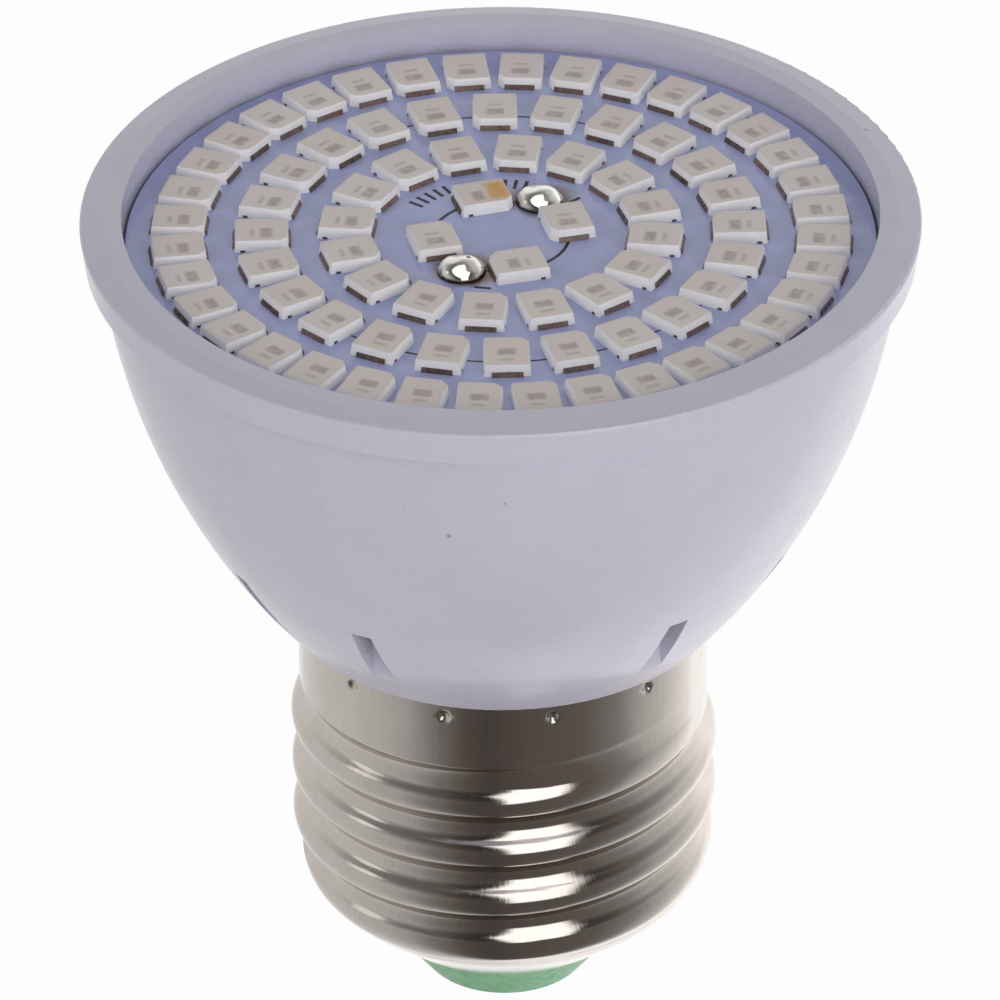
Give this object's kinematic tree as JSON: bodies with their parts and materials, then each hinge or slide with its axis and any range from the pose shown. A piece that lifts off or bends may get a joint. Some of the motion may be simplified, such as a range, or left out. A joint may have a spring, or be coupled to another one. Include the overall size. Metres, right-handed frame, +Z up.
{
  "type": "grow light bulb",
  "caption": "Reflector-shaped grow light bulb: rings of light-emitting diodes on a board in a white cup, on a round-threaded metal screw base with a centre contact.",
  "frame": {"origin": "middle of the flat face of the centre contact, on which the bulb stands", "axes": "+Z up the bulb's axis, out through the lit face; -Y the side that faces the picture's camera"},
  "size_m": [0.05, 0.05, 0.0546],
  "materials": {
    "cup_plastic": "moulded white plastic with a faint lavender cast",
    "shell_nickel": "nickel plated rolled sheet, warm grey",
    "insulator_green": "green moulded plastic",
    "contact_metal": "nickel plated brass",
    "board_mask": "aluminium core with pale blue-grey solder mask",
    "solder": "bright solder",
    "led_housing_white": "white reflector plastic",
    "led_window_beige": "clear filling over a pale frame, reads grey-beige",
    "led_terminal_metal": "tinned lead frame, dull brown",
    "wire_red": "insulated wire",
    "wire_black": "insulated wire",
    "driver_laminate": "paper laminate",
    "film_case": "epoxy coated film capacitor",
    "rectifier_black": "moulded black",
    "drum_sleeve": "printed sleeve left plain",
    "resistor_body": "coated ceramic"
  },
  "bodies": {
    "root": {"cup_housing": "cup_plastic", "screw_shell": "shell_nickel", "contact_insulator": "insulator_green", "centre_contact": "contact_metal", "led_board": "board_mask", "solder_joint_positive": "solder", "solder_joint_negative": "solder", "led_wire_positive": "wire_red", "led_wire_negative": "wire_black", "shell_wire": "wire_black", "contact_wire": "wire_red", "driver_board": "driver_laminate", "film_capacitor": "film_case", "bridge_rectifier": "rectifier_black", "smoothing_capacitor": "drum_sleeve", "dropper_resistors": "resistor_body", "led_housings_outer": "led_housing_white", "led_windows_outer": "led_window_beige", "led_terminals_outer": "led_terminal_metal", "led_housings_middle": "led_housing_white", "led_windows_middle": "led_window_beige", "led_terminals_middle": "led_terminal_metal", "led_housings_inner": "led_housing_white", "led_windows_inner": "led_window_beige", "led_terminals_inner": "led_terminal_metal", "led_housings_centre": "led_housing_white", "led_windows_centre": "led_window_beige", "led_terminals_centre": "led_terminal_metal"}
  },
  "joints": []
}
